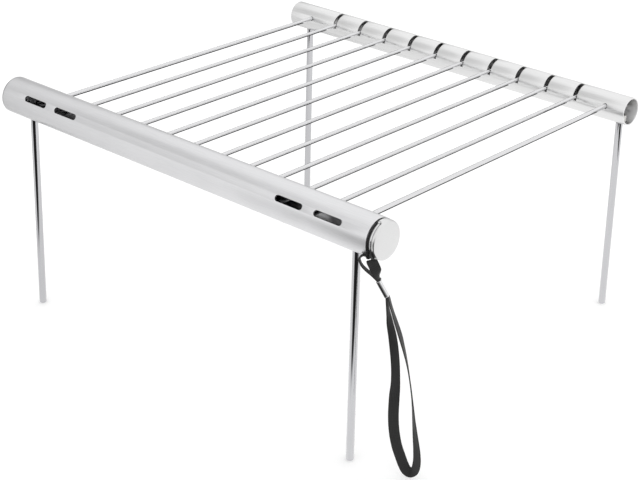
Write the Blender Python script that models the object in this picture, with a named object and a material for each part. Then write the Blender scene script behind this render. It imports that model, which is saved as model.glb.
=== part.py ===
"""A take-apart camping grill: two tubes on four screwed-in legs, with twelve rods as the grate.

The wide front tube has vents, a plug in its left end and a screw cap in its right end. A wire
bail on the cap holds a tape strap. Rods rest in slots of the thinner rear tube.

Sizes are in metres. Places are worked out with x = 0 midway between the legs, y = 0 on the front
tube's axis and z = 0 on the ground. One empty then shifts everything, so that the origin is the
middle of the outline's underside.
"""
import math

import bmesh
import bpy
from mathutils import Matrix, Vector

# Sizes of the whole
CLEARANCE = 0.0003
AXIS_HEIGHT = 0.1540
AXIS_SPACING = 0.2810
LEG_SPAN = 0.2915
GRATE_OFFSET = 0.0012

# Front tube; it stands out past the legs' axes, and the outer vents' middles lie inside them
TUBE_RADIUS = 0.0125
TUBE_WALL = 0.0012
TUBE_OUT_LEFT = 0.01725
TUBE_OUT_RIGHT = 0.01655
VENT_LENGTH = 0.0215
VENT_HEIGHT = 0.0040
VENT_RISE = math.radians(30)
VENT_INSET = 0.01475
VENT_PITCH = 0.0305

# Plug in the left end
PLUG_FLANGE = 0.0010
PLUG_ROUNDING = 0.0008
PLUG_DEPTH = 0.0080
PLUG_WALL = 0.0016

# Rear tube
RAIL_RADIUS = 0.0099
RAIL_WALL = 0.0009
RAIL_OUT_LEFT = 0.01225
RAIL_OUT_RIGHT = 0.00815
SLOT_BACK = 0.0012

# Rods; the outer two, the tie rods, lie inside the legs' axes
ROD_COUNT = 12
TIE_INSET = 0.00825
ROD_RADIUS = 0.0014
TIE_RADIUS = 0.00155
ROD_CHAMFER = 0.0004
ROD_TIP_GAP = 0.0005

# Legs and the threaded bosses that they screw into
LEG_RADIUS = 0.0025
LEG_CHAMFER = 0.0005
NECK_RADIUS = 0.0020
BOSS_RADIUS = 0.0045
BOSS_HEIGHT = 0.0050
NECK_SHORT = 0.0005

# Screw cap and its seal, both a little smaller than the tube
SEAL_THICKNESS = 0.0005
SEAL_INSET = 0.0005
SEAL_EDGE = 0.0002
SEAL_GAP = 0.00025
CAP_INSET = 0.0003
CAP_FACE = 0.0044
CAP_CHAMFER = 0.00045
SPIGOT_LENGTH = 0.0090
SPIGOT_WALL = 0.0017
SPIGOT_FLOOR = 0.0010
THREAD_PITCH = 0.0015
THREAD_TURNS = 4
THREAD_DEPTH = 0.0006
THREAD_LEAD_IN = 0.0008

# Wire bail
WIRE_RADIUS = 0.0008
BAIL_SETBACK = 0.00135
BAIL_TILT = math.radians(72.4)
BAIL_BEND = 0.0012
BAIL_HOLE_DEPTH = 0.0030
BAIL_HOLE_GAP = 0.00025
GROOVE_SIDE = 0.00095

# Tape strap and its ferrule
TAPE_WIDTH = 0.0064
TAPE_THICKNESS = 0.0008
TAPE_ON_WIRE = math.radians(-32)
TAPE_WIRE_GAP = 0.0003
STRAND_SPACING = 0.00104
FERRULE_WALL = 0.00035
FERRULE_ROUNDING = 0.0008
STRAND_IN_FERRULE = 0.0032

# Where the strap hangs, chosen by eye: places in millimetres, then for the loop the turn of the
# tape about its own length in degrees, which is 90 where its edge shows to the front right
STRAP_FACES = Vector((0.550, -0.692, 0.468))
FERRULE_TOP = Vector((170.0, -9.0, 133.4)) * 0.001
FERRULE_BOTTOM = Vector((175.2, -7.2, 124.8)) * 0.001
FERRULE_TURN = 80
EYE_LEFT = (
    (165.7, -10.2, 136.0), (162.7, -11.1, 137.9), (160.2, -12.0, 140.1), (159.0, -12.6, 142.6),
    (159.1, -12.9, 144.8), (160.5, -12.6, 146.4), (162.0, -12.1, 147.0),
)
EYE_RIGHT = (
    (166.9, -12.1, 145.6), (168.5, -11.9, 143.4), (169.8, -10.9, 140.5), (170.3, -10.0, 137.4),
)
LOOP_ROUTE = (
    (177.7, -5.4, 115.9, 78), (180.2, -4.3, 108.1, 72), (182.7, -3.1, 100.2, 70), (184.8, -1.5, 90.7, 78),
    (186.5, 0.0, 80.9, 86), (187.6, 1.6, 70.2, 90), (188.7, 3.1, 58.0, 92), (189.5, 4.6, 44.3, 102),
    (190.4, 5.7, 32.6, 116), (191.2, 6.7, 22.3, 128), (191.2, 7.2, 14.4, 135), (189.7, 7.5, 8.7, 142),
    (186.6, 7.6, 5.6, 152), (183.6, 7.4, 5.9, 162), (181.3, 7.1, 9.0, 172), (179.4, 6.7, 13.2, 180),
    (176.8, 5.6, 21.1, 180), (175.2, 4.5, 31.3, 180), (175.1, 3.4, 42.0, 180), (176.1, 2.2, 54.5, 170),
    (177.5, 0.9, 66.4, 148), (177.9, -0.3, 77.6, 143), (177.7, -1.7, 88.0, 143), (176.9, -3.1, 98.0, 138),
    (175.5, -4.3, 106.7, 126), (174.7, -5.4, 114.5, 106),
)

# Places that follow from the sizes
TUBE_LEFT = LEG_SPAN / 2 + TUBE_OUT_LEFT
TUBE_RIGHT = LEG_SPAN / 2 + TUBE_OUT_RIGHT
VENT_OUTER = LEG_SPAN / 2 - VENT_INSET
RAIL_LEFT = LEG_SPAN / 2 + RAIL_OUT_LEFT
RAIL_RIGHT = LEG_SPAN / 2 + RAIL_OUT_RIGHT
ROD_PITCH = (LEG_SPAN - 2 * TIE_INSET) / (ROD_COUNT - 1)
TUBE_BORE = TUBE_RADIUS - TUBE_WALL
RAIL_BORE = RAIL_RADIUS - RAIL_WALL
TUBE_BOTTOM = AXIS_HEIGHT - TUBE_RADIUS
SEAL_RADIUS = TUBE_RADIUS - SEAL_INSET
CAP_RADIUS = TUBE_RADIUS - CAP_INSET
RAIL_HEIGHT = TUBE_BOTTOM + RAIL_RADIUS
SHOULDER = TUBE_RIGHT + SEAL_THICKNESS + 2 * SEAL_GAP
PIVOT = SHOULDER + BAIL_SETBACK
CAP_END = SHOULDER + CAP_FACE
PLUG_END = TUBE_LEFT + CLEARANCE + PLUG_FLANGE
SPIGOT_RADIUS = TUBE_BORE - CLEARANCE
BAIL_RADIUS = CAP_RADIUS + CLEARANCE + WIRE_RADIUS
GROOVE_RADIUS = BAIL_RADIUS - WIRE_RADIUS - TAPE_THICKNESS - 2 * CLEARANCE
HOLE_RADIUS = WIRE_RADIUS + BAIL_HOLE_GAP
GROUND_ORIGIN = Vector((
    (CAP_END - PLUG_END) / 2,
    (AXIS_SPACING + RAIL_RADIUS - BAIL_RADIUS - WIRE_RADIUS) / 2,
    0.0,
))

# Numbers of steps round the pieces
TUBE_STEPS = 48
RAIL_STEPS = 40
ROUND_STEPS = 24
ROD_STEPS = 16
HOLE_STEPS = 16
ARC_STEPS = 6

# Cutters reach this far past the walls that they cut
CUT_MARGIN = 0.0030


def clear_scene():
    for old in list(bpy.data.objects):
        bpy.data.objects.remove(old, do_unlink=True)


def finish(name, colour, metallic, roughness):
    """A plain material of the piece's colour and gloss."""
    material = bpy.data.materials.new(name)
    material.use_nodes = True
    shader = material.node_tree.nodes["Principled BSDF"]
    shader.inputs["Base Color"].default_value = (*colour, 1.0)
    shader.inputs["Metallic"].default_value = metallic
    shader.inputs["Roughness"].default_value = roughness
    return material


def add_piece(name, data, at, parent, look):
    """An object for one piece; at is its origin in the working frame."""
    piece = bpy.data.objects.new(name, data)
    bpy.context.collection.objects.link(piece)
    piece.parent = parent
    piece.location = Vector(at) - Vector(parent["at"])
    data.materials.append(finish(name, *look))
    return piece


def add_pivot(name, at, parent=None):
    """An empty on a joint's axis, which remembers its place in the working frame."""
    pivot = bpy.data.objects.new(name, None)
    bpy.context.collection.objects.link(pivot)
    pivot["at"] = tuple(at)
    if parent is None:
        pivot.location = Vector(at) - GROUND_ORIGIN
    else:
        pivot.parent = parent
        pivot.location = Vector(at) - Vector(parent["at"])
    return pivot


def to_mesh(name, bm, smooth_angle=math.radians(35)):
    mesh = bpy.data.meshes.new(name)
    bm.to_mesh(mesh)
    bm.free()
    mesh.shade_smooth()
    mesh.set_sharp_from_angle(angle=smooth_angle)
    return mesh


def turned(profile, steps, closed=False):
    """Turns an outline of (place along X, radius) round the X axis."""
    bm = bmesh.new()
    verts = [bm.verts.new((along, 0.0, radius)) for along, radius in profile]
    edges = [bm.edges.new(pair) for pair in zip(verts, verts[1:])]
    if closed:
        edges.append(bm.edges.new((verts[-1], verts[0])))
    bmesh.ops.spin(
        bm, geom=verts + edges, cent=(0, 0, 0), axis=(1, 0, 0), angle=2 * math.pi, steps=steps,
        use_merge=True,
    )
    bmesh.ops.remove_doubles(bm, verts=bm.verts, dist=1e-6)
    bmesh.ops.recalc_face_normals(bm, faces=bm.faces)
    return bm


def stand_up(bm):
    """Turns a piece made along X so that it stands along Z."""
    bmesh.ops.rotate(bm, verts=bm.verts, cent=(0, 0, 0), matrix=Matrix.Rotation(-math.pi / 2, 3, "Y"))


def add_cylinder(bm, centre, direction, radius, depth, steps=HOLE_STEPS):
    turn = Vector((0, 0, 1)).rotation_difference(Vector(direction)).to_matrix().to_4x4()
    bmesh.ops.create_cone(
        bm, cap_ends=True, segments=steps, radius1=radius, radius2=radius, depth=depth,
        matrix=Matrix.Translation(centre) @ turn,
    )


def add_block(bm, low, high):
    low, high = Vector(low), Vector(high)
    size = high - low
    bmesh.ops.create_cube(
        bm, size=1.0, matrix=Matrix.Translation((low + high) / 2) @ Matrix.Diagonal((*size, 1.0))
    )


def cut_with(piece, name, bm):
    """Cuts the closed shapes in bm, given in the piece's own frame, out of the piece."""
    mesh = bpy.data.meshes.new(name)
    bm.to_mesh(mesh)
    bm.free()
    cutter = bpy.data.objects.new(name, mesh)
    bpy.context.collection.objects.link(cutter)
    cutter.parent = piece
    cutter.hide_render = True
    cutter.display_type = "WIRE"
    modifier = piece.modifiers.new(name, "BOOLEAN")
    modifier.operation = "DIFFERENCE"
    modifier.solver = "EXACT"
    modifier.object = cutter


def rod_places():
    """x of each rod, from the left."""
    first = GRATE_OFFSET - ROD_PITCH * (ROD_COUNT - 1) / 2
    return [first + ROD_PITCH * index for index in range(ROD_COUNT)]


def rod_radius(index):
    return TIE_RADIUS if index in (0, ROD_COUNT - 1) else ROD_RADIUS


SATIN_STEEL = ((0.62, 0.62, 0.62), 1.0, 0.32)
CHROME = ((0.78, 0.78, 0.78), 1.0, 0.10)
BLACK_RUBBER = ((0.02, 0.02, 0.02), 0.0, 0.6)
BLACK_TAPE = ((0.03, 0.03, 0.03), 0.0, 0.8)


def vent_cutter(bm, centre_x):
    """An oblong prism through the tube's front wall, pointing out along the vents' rise."""
    outward = Vector((0, -math.cos(VENT_RISE), math.sin(VENT_RISE)))
    upward = Vector((0, math.sin(VENT_RISE), math.cos(VENT_RISE)))
    end_radius = VENT_HEIGHT / 2
    straight = VENT_LENGTH / 2 - end_radius
    outline = []
    for side in (1, -1):
        for step in range(ARC_STEPS + 1):
            angle = -math.pi / 2 + math.pi * step / ARC_STEPS
            along = side * (straight + end_radius * math.cos(angle))
            across = side * end_radius * math.sin(angle)
            outline.append((along, across))
    start = TUBE_BORE - CUT_MARGIN
    verts = [
        bm.verts.new(Vector((centre_x + along, 0, 0)) + upward * across + outward * start)
        for along, across in outline
    ]
    face = bm.faces.new(verts)
    result = bmesh.ops.extrude_face_region(bm, geom=[face], use_keep_orig=True)
    moved = [item for item in result["geom"] if isinstance(item, bmesh.types.BMVert)]
    bmesh.ops.translate(bm, verts=moved, vec=outward * (TUBE_WALL + 2 * CUT_MARGIN))


def make_main_tube(parent):
    bm = turned(
        [
            (-TUBE_LEFT, TUBE_RADIUS), (TUBE_RIGHT, TUBE_RADIUS),
            (TUBE_RIGHT, TUBE_BORE), (-TUBE_LEFT, TUBE_BORE),
        ],
        TUBE_STEPS, closed=True,
    )
    tube = add_piece("main_tube", to_mesh("main_tube", bm), (0, 0, AXIS_HEIGHT), parent, SATIN_STEEL)
    holes = bmesh.new()
    depth = TUBE_WALL + 2 * CUT_MARGIN
    for index, x in enumerate(rod_places()):
        add_cylinder(holes, (x, TUBE_RADIUS, 0), (0, 1, 0), rod_radius(index) + CLEARANCE, depth)
    for side in (-1, 1):
        leg = (side * LEG_SPAN / 2, 0, -TUBE_RADIUS)
        add_cylinder(holes, leg, (0, 0, 1), NECK_RADIUS + CLEARANCE, depth)
    for side in (-1, 1):
        for nearer in (0, 1):
            vent_cutter(holes, GRATE_OFFSET + side * (VENT_OUTER - nearer * VENT_PITCH))
    bmesh.ops.recalc_face_normals(holes, faces=holes.faces)
    cut_with(tube, "main_tube_cutter", holes)


def make_end_plug(parent):
    """A cup pushed into the tube, with a flange that covers the tube's end."""
    start = -CLEARANCE
    end = start - PLUG_FLANGE
    rounding = [
        (
            end + PLUG_ROUNDING * (1 - math.cos(math.pi / 2 * step / ARC_STEPS)),
            TUBE_RADIUS - PLUG_ROUNDING * (1 - math.sin(math.pi / 2 * step / ARC_STEPS)),
        )
        for step in range(ARC_STEPS + 1)
    ]
    profile = [
        (end, 0.0), *rounding, (start, TUBE_RADIUS), (start, SPIGOT_RADIUS),
        (PLUG_DEPTH, SPIGOT_RADIUS), (PLUG_DEPTH, SPIGOT_RADIUS - PLUG_WALL),
        (PLUG_WALL, SPIGOT_RADIUS - PLUG_WALL), (PLUG_WALL, 0.0),
    ]
    bm = turned(profile, TUBE_STEPS)
    add_piece("end_plug", to_mesh("end_plug", bm), (-TUBE_LEFT, 0, AXIS_HEIGHT), parent, SATIN_STEEL)


def make_rear_rail(parent):
    bm = turned(
        [
            (-RAIL_LEFT, RAIL_RADIUS), (RAIL_RIGHT, RAIL_RADIUS),
            (RAIL_RIGHT, RAIL_BORE), (-RAIL_LEFT, RAIL_BORE),
        ],
        RAIL_STEPS, closed=True,
    )
    place = (0, AXIS_SPACING, RAIL_HEIGHT)
    rail = add_piece("rear_rail", to_mesh("rear_rail", bm), place, parent, SATIN_STEEL)
    rod_level = AXIS_HEIGHT - RAIL_HEIGHT
    outside = RAIL_RADIUS + CUT_MARGIN
    depth = RAIL_WALL + 2 * CUT_MARGIN
    cuts = bmesh.new()
    for index, x in enumerate(rod_places()):
        half = rod_radius(index) + CLEARANCE
        if index in (0, ROD_COUNT - 1):
            add_cylinder(cuts, (x, -RAIL_RADIUS, rod_level), (0, 1, 0), half, depth)
        else:
            add_block(cuts, (x - half, -outside, rod_level - half), (x + half, -SLOT_BACK, outside))
    for side in (-1, 1):
        leg = (side * LEG_SPAN / 2, 0, -RAIL_RADIUS)
        add_cylinder(cuts, leg, (0, 0, 1), NECK_RADIUS + CLEARANCE, depth)
    bmesh.ops.recalc_face_normals(cuts, faces=cuts.faces)
    cut_with(rail, "rear_rail_cutter", cuts)


def rod_front(radius):
    """y of a rod's front end, just clear of the front tube's far wall."""
    return -(math.sqrt(TUBE_BORE ** 2 - radius ** 2) - CLEARANCE)


def rod_back(index):
    """y of a rod's rear end: in its slot, or for a tie rod just clear of the rear tube's far wall."""
    if index not in (0, ROD_COUNT - 1):
        return AXIS_SPACING - SLOT_BACK - ROD_TIP_GAP
    reach = AXIS_HEIGHT - RAIL_HEIGHT + TIE_RADIUS
    return AXIS_SPACING + math.sqrt(RAIL_BORE ** 2 - reach ** 2) - CLEARANCE


def make_rods(parent):
    hinge_y = TUBE_RADIUS - TUBE_WALL / 2
    for index, x in enumerate(rod_places()):
        radius = rod_radius(index)
        front = rod_front(radius) - hinge_y
        back = rod_back(index) - hinge_y
        bm = turned(
            [
                (front, 0.0), (front, radius - ROD_CHAMFER), (front + ROD_CHAMFER, radius),
                (back - ROD_CHAMFER, radius), (back, radius - ROD_CHAMFER), (back, 0.0),
            ],
            ROD_STEPS,
        )
        quarter = Matrix.Rotation(math.pi / 2, 3, "Z")
        bmesh.ops.rotate(bm, verts=bm.verts, cent=(0, 0, 0), matrix=quarter)
        if index == 0:
            name = "tie_rod_left"
        elif index == ROD_COUNT - 1:
            name = "tie_rod_right"
        else:
            name = f"grid_rod_{index:02d}"
        pivot = add_pivot(f"{name}_pivot", (x, hinge_y, AXIS_HEIGHT), parent)
        add_piece(name, to_mesh(name, bm), (x, hinge_y, AXIS_HEIGHT), pivot, CHROME)


def make_leg(name, x, y, parent):
    shoulder = TUBE_BOTTOM - CLEARANCE
    neck_top = TUBE_BOTTOM + min(TUBE_WALL, RAIL_WALL) + BOSS_HEIGHT - NECK_SHORT
    bm = turned(
        [
            (0.0, 0.0), (0.0, LEG_RADIUS - LEG_CHAMFER), (LEG_CHAMFER, LEG_RADIUS),
            (shoulder, LEG_RADIUS), (shoulder, NECK_RADIUS), (neck_top - LEG_CHAMFER, NECK_RADIUS),
            (neck_top, NECK_RADIUS - LEG_CHAMFER), (neck_top, 0.0),
        ],
        ROUND_STEPS,
    )
    stand_up(bm)
    add_piece(name, to_mesh(name, bm), (x, y, 0), parent, CHROME)


def make_boss(name, x, y, bore, height, parent):
    """A threaded boss on the tube's floor: its foot follows the round wall."""
    seat = bore - CLEARANCE
    inner = NECK_RADIUS + CLEARANCE
    bm = turned(
        [(0.0, BOSS_RADIUS), (BOSS_HEIGHT, BOSS_RADIUS), (BOSS_HEIGHT, inner), (0.0, inner)],
        ROUND_STEPS, closed=True,
    )
    stand_up(bm)
    for vert in bm.verts:
        if vert.co.z < BOSS_HEIGHT / 2:
            vert.co.z = bore - math.sqrt(seat ** 2 - vert.co.y ** 2)
    floor = height - bore
    add_piece(name, to_mesh(name, bm), (x, y, floor), parent, SATIN_STEEL)


def make_legs_and_bosses(parent):
    for row, y, bore, height in (
        ("front", 0.0, TUBE_BORE, AXIS_HEIGHT),
        ("rear", AXIS_SPACING, RAIL_BORE, RAIL_HEIGHT),
    ):
        for side, word in ((-1, "left"), (1, "right")):
            x = side * LEG_SPAN / 2
            make_leg(f"leg_{row}_{word}", x, y, parent)
            make_boss(f"leg_boss_{row}_{word}", x, y, bore, height, parent)


def cap_profile():
    """The cap's outline along X, from the spigot's floor round to the middle of the face."""
    end = -SPIGOT_LENGTH
    first = end + THREAD_LEAD_IN
    rings_per_turn = 6
    threaded = [
        (first + THREAD_PITCH * step / rings_per_turn, SPIGOT_RADIUS)
        for step in range(THREAD_TURNS * rings_per_turn + 1)
    ]
    lip_end = CAP_FACE - CAP_CHAMFER
    crown = []
    for step in range(ARC_STEPS + 1):
        along = BAIL_SETBACK + (lip_end - BAIL_SETBACK) * step / ARC_STEPS
        crown.append((along, math.sqrt(CAP_RADIUS ** 2 - (along - BAIL_SETBACK) ** 2)))
    lip_radius = crown[-1][1]
    return [
        (-SPIGOT_FLOOR, 0.0), (-SPIGOT_FLOOR, SPIGOT_RADIUS - SPIGOT_WALL),
        (end, SPIGOT_RADIUS - SPIGOT_WALL), (end, SPIGOT_RADIUS - THREAD_DEPTH), *threaded,
        (0.0, SPIGOT_RADIUS), (0.0, CAP_RADIUS), *crown, (CAP_FACE, lip_radius - CAP_CHAMFER),
        (CAP_FACE, 0.0),
    ]


def cut_thread(bm):
    """Draws the spigot's wall in along a helix, so that it carries a thread."""
    first = -SPIGOT_LENGTH + THREAD_LEAD_IN
    last = first + THREAD_PITCH * THREAD_TURNS
    near = 1e-5
    for vert in bm.verts:
        radius = math.hypot(vert.co.y, vert.co.z)
        on_wall = abs(radius - SPIGOT_RADIUS) < near
        if not on_wall or vert.co.x < first - near or vert.co.x > last + near:
            continue
        turn = math.atan2(vert.co.z, vert.co.y) / (2 * math.pi)
        phase = ((vert.co.x - first) / THREAD_PITCH - turn) % 1.0
        depth = THREAD_DEPTH * (1 - abs(2 * phase - 1))
        run_out = min(1.0, (last - vert.co.x) / THREAD_PITCH)
        scale = (SPIGOT_RADIUS - depth * run_out) / radius
        vert.co.y *= scale
        vert.co.z *= scale


def ring_direction(angle):
    """Outward direction in the bail's plane; angle is the height above the front."""
    return Vector((0, -math.cos(angle), math.sin(angle)))


def make_screw_cap(parent):
    bm = turned(cap_profile(), TUBE_STEPS)
    cut_thread(bm)
    place = (SHOULDER, 0, AXIS_HEIGHT)
    cap = add_piece("screw_cap", to_mesh("screw_cap", bm), place, parent, SATIN_STEEL)

    groove = bmesh.new()
    low = -CLEARANCE
    high = BAIL_SETBACK + WIRE_RADIUS + GROOVE_SIDE
    outer = CAP_RADIUS + CUT_MARGIN
    corners = [(low, GROOVE_RADIUS), (high, GROOVE_RADIUS), (high, outer), (low, outer)]
    start = ring_direction(BAIL_TILT)
    verts = [groove.verts.new(Vector((along, 0, 0)) + start * radius) for along, radius in corners]
    edges = [groove.edges.new(pair) for pair in zip(verts, verts[1:] + verts[:1])]
    bmesh.ops.spin(
        groove, geom=verts + edges, cent=(0, 0, 0), axis=(1, 0, 0), angle=math.pi, steps=TUBE_STEPS // 2,
    )
    rim = [edge for edge in groove.edges if edge.is_boundary]
    bmesh.ops.holes_fill(groove, edges=rim, sides=len(corners))
    bmesh.ops.recalc_face_normals(groove, faces=groove.faces)
    cut_with(cap, "cap_groove_cutter", groove)

    holes = bmesh.new()
    length = BAIL_HOLE_DEPTH + CUT_MARGIN
    reach = CAP_RADIUS - BAIL_HOLE_DEPTH + length / 2
    for end in (BAIL_TILT, BAIL_TILT - math.pi):
        direction = ring_direction(end)
        middle = Vector((BAIL_SETBACK, 0, 0)) + direction * reach
        add_cylinder(holes, middle, direction, HOLE_RADIUS, length)
    cut_with(cap, "cap_hole_cutter", holes)


def make_seal(parent):
    inner = SPIGOT_RADIUS + CLEARANCE
    start = -(SHOULDER - TUBE_RIGHT - SEAL_THICKNESS) / 2 - SEAL_THICKNESS
    end = start + SEAL_THICKNESS
    middle = (start + end) / 2
    edge = SEAL_RADIUS - SEAL_EDGE
    bm = turned(
        [(start, inner), (start, edge), (middle, SEAL_RADIUS), (end, edge), (end, inner)],
        TUBE_STEPS, closed=True,
    )
    add_piece("cap_seal", to_mesh("cap_seal", bm), (SHOULDER, 0, AXIS_HEIGHT), parent, BLACK_RUBBER)


def bail_path():
    """The wire's centre line: a half ring whose ends bend in towards the cap's middle."""
    def bent_end(angle, toward):
        outward = ring_direction(angle)
        along = ring_direction(angle + toward * math.pi / 2)
        points = [outward * (CAP_RADIUS - BAIL_HOLE_DEPTH + CLEARANCE)]
        for step in range(ARC_STEPS + 1):
            bend = math.pi / 2 * step / ARC_STEPS
            rise = BAIL_RADIUS - BAIL_BEND * (1 - math.sin(bend))
            points.append(outward * rise + along * BAIL_BEND * (1 - math.cos(bend)))
        return points

    used = math.atan(BAIL_BEND / BAIL_RADIUS)
    steps = 20
    ring = [
        ring_direction(BAIL_TILT - used - (math.pi - 2 * used) * step / steps) * BAIL_RADIUS
        for step in range(1, steps)
    ]
    first = bent_end(BAIL_TILT, -1)
    last = bent_end(BAIL_TILT - math.pi, 1)
    return first + ring + last[::-1]


def make_bail(parent):
    curve = bpy.data.curves.new("cap_bail", "CURVE")
    curve.dimensions = "3D"
    curve.bevel_depth = WIRE_RADIUS
    curve.bevel_resolution = 2
    curve.use_fill_caps = True
    points = bail_path()
    spline = curve.splines.new("POLY")
    spline.points.add(len(points) - 1)
    for target, point in zip(spline.points, points):
        target.co = (*point, 1.0)
    add_piece("cap_bail", curve, (PIVOT, 0, AXIS_HEIGHT), parent, CHROME)


def smooth_path(points, steps):
    """A curve through the points, with steps places to each span; extra numbers are eased along."""
    size = len(points[0])
    padded = [points[0], *points, points[-1]]
    path = []
    for index in range(len(points) - 1):
        a, b, c, d = padded[index:index + 4]
        for step in range(steps):
            t = step / steps
            path.append([
                0.5 * (
                    2 * b[i] + (c[i] - a[i]) * t + (2 * a[i] - 5 * b[i] + 4 * c[i] - d[i]) * t ** 2
                    + (3 * b[i] - a[i] - 3 * c[i] + d[i]) * t ** 3
                )
                for i in range(size)
            ])
    path.append(list(points[-1]))
    return path


def turned_width(tangent, degrees):
    """The tape's width direction, turned about its length from facing front right."""
    across = tangent.cross(STRAP_FACES).normalized()
    facing = across.cross(tangent).normalized()
    angle = math.radians(degrees)
    return across * math.cos(angle) + facing * math.sin(angle)


def tangents_of(places):
    ends = [places[0], *places, places[-1]]
    return [(ends[i + 2] - ends[i]).normalized() for i in range(len(places))]


def ribbon(places, widths, cups, across=1):
    """A flat tape along the places; a cup bends its section round that centre, if one is given."""
    bm = bmesh.new()
    sections = []
    for place, tangent, width, cup in zip(places, tangents_of(places), widths, cups):
        width = (width - tangent * width.dot(tangent)).normalized()
        normal = tangent.cross(width)
        top, bottom = [], []
        for step in range(across + 1):
            offset = TAPE_WIDTH * (step / across - 0.5)
            point = place + width * offset
            if cup is not None:
                toward, share, radius = cup
                point = point + toward * share * offset ** 2 / (2 * radius)
            top.append(bm.verts.new(point + normal * TAPE_THICKNESS / 2))
            bottom.append(bm.verts.new(point - normal * TAPE_THICKNESS / 2))
        sections.append(top + bottom[::-1])
    for one, two in zip(sections, sections[1:]):
        for i in range(len(one)):
            j = (i + 1) % len(one)
            bm.faces.new((one[i], one[j], two[j], two[i]))
    bm.faces.new(sections[0])
    bm.faces.new(sections[-1])
    bmesh.ops.recalc_face_normals(bm, faces=bm.faces)
    return bm


def ferrule_frame():
    """The ferrule's direction down the strap, its width and its thickness direction."""
    down = (FERRULE_BOTTOM - FERRULE_TOP).normalized()
    width = turned_width(down, FERRULE_TURN)
    normal = down.cross(width)
    if normal.x < 0:
        normal = -normal
    return down, width, normal


def wire_place():
    """The point of the bail's centre line that the tape goes round."""
    return Vector((PIVOT, 0, AXIS_HEIGHT)) + ring_direction(TAPE_ON_WIRE) * BAIL_RADIUS


def millimetres(points):
    return [Vector(point) * 0.001 for point in points]


def make_strap_eye(parent):
    down, width, normal = ferrule_frame()
    centre = wire_place()
    inward = -ring_direction(TAPE_ON_WIRE)
    along_wire = Vector((0, math.sin(TAPE_ON_WIRE), math.cos(TAPE_ON_WIRE)))
    wrap = WIRE_RADIUS + TAPE_WIRE_GAP + TAPE_THICKNESS / 2
    half = normal * STRAND_SPACING / 2
    round_wire = []
    for step in range(7):
        angle = math.pi * step / 6
        across = Vector((-math.cos(angle) * wrap, 0, 0))
        round_wire.append(centre + across + inward * math.sin(angle) * wrap)
    mouth = FERRULE_TOP + down * STRAND_IN_FERRULE
    keys = (
        [mouth - half, FERRULE_TOP - half] + millimetres(EYE_LEFT) + round_wire
        + millimetres(EYE_RIGHT) + [FERRULE_TOP + half, mouth + half]
    )
    first_on_wire = 2 + len(EYE_LEFT)
    last_on_wire = first_on_wire + len(round_wire) - 1
    shares = []
    for index in range(len(keys)):
        if index < first_on_wire:
            share = max(0.0, (index - 1) / (first_on_wire - 2))
        elif index > last_on_wire:
            share = max(0.0, (len(keys) - 2 - index) / (len(keys) - 3 - last_on_wire))
        else:
            share = 1.0
        shares.append(min(1.0, share))
    path = smooth_path([(*key, share) for key, share in zip(keys, shares)], 2)
    places = [Vector(item[:3]) for item in path]
    widths = [width.lerp(along_wire, max(0.0, min(1.0, item[3]))) for item in path]
    cups = [(inward, max(0.0, min(1.0, item[3])), BAIL_RADIUS) for item in path]
    bm = ribbon([place - centre for place in places], widths, cups, across=4)
    add_piece("strap_eye", to_mesh("strap_eye", bm), centre, parent, BLACK_TAPE)


def make_strap_loop(parent):
    down, width, normal = ferrule_frame()
    centre = wire_place()
    half = normal * STRAND_SPACING / 2
    mouth = FERRULE_BOTTOM - down * STRAND_IN_FERRULE
    other_turn = 180 - FERRULE_TURN
    route = [(*(Vector(item[:3]) * 0.001), item[3]) for item in LOOP_ROUTE]
    keys = (
        [(*(mouth + half), FERRULE_TURN), (*(FERRULE_BOTTOM + half), FERRULE_TURN)] + route
        + [(*(FERRULE_BOTTOM - half), other_turn), (*(mouth - half), other_turn)]
    )
    path = smooth_path(keys, 3)
    places = [Vector(item[:3]) for item in path]
    widths = [turned_width(tangent, item[3]) for tangent, item in zip(tangents_of(places), path)]
    bm = ribbon([place - centre for place in places], widths, [None] * len(path))
    add_piece("strap_loop", to_mesh("strap_loop", bm), centre, parent, BLACK_TAPE)


def make_ferrule(parent):
    """A flat sleeve crimped round the two strands, open at both ends."""
    down, width, normal = ferrule_frame()
    centre = wire_place()
    inner_thickness = STRAND_SPACING + TAPE_THICKNESS + 2 * CLEARANCE
    inner_width = TAPE_WIDTH + 2 * CLEARANCE

    def outline(half_width, half_thickness, rounding):
        points = []
        for corner in range(4):
            across = half_width - rounding
            deep = half_thickness - rounding
            sign_across = (1, -1, -1, 1)[corner]
            sign_deep = (1, 1, -1, -1)[corner]
            for step in range(4):
                angle = math.pi / 2 * (corner + step / 3)
                points.append((
                    sign_across * across + rounding * math.cos(angle),
                    sign_deep * deep + rounding * math.sin(angle),
                ))
        return points

    half_width = inner_width / 2
    half_thickness = inner_thickness / 2
    outer = outline(half_width + FERRULE_WALL, half_thickness + FERRULE_WALL, FERRULE_ROUNDING)
    inner = outline(half_width, half_thickness, FERRULE_ROUNDING - FERRULE_WALL)
    bm = bmesh.new()
    rings = []
    for points, end in (
        (outer, FERRULE_TOP), (outer, FERRULE_BOTTOM), (inner, FERRULE_BOTTOM), (inner, FERRULE_TOP),
    ):
        rings.append([bm.verts.new(end - centre + width * a + normal * b) for a, b in points])
    for one, two in zip(rings, rings[1:] + rings[:1]):
        for i in range(len(one)):
            j = (i + 1) % len(one)
            bm.faces.new((one[i], one[j], two[j], two[i]))
    bmesh.ops.recalc_face_normals(bm, faces=bm.faces)
    add_piece("strap_ferrule", to_mesh("strap_ferrule", bm), centre, parent, CHROME)


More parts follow.
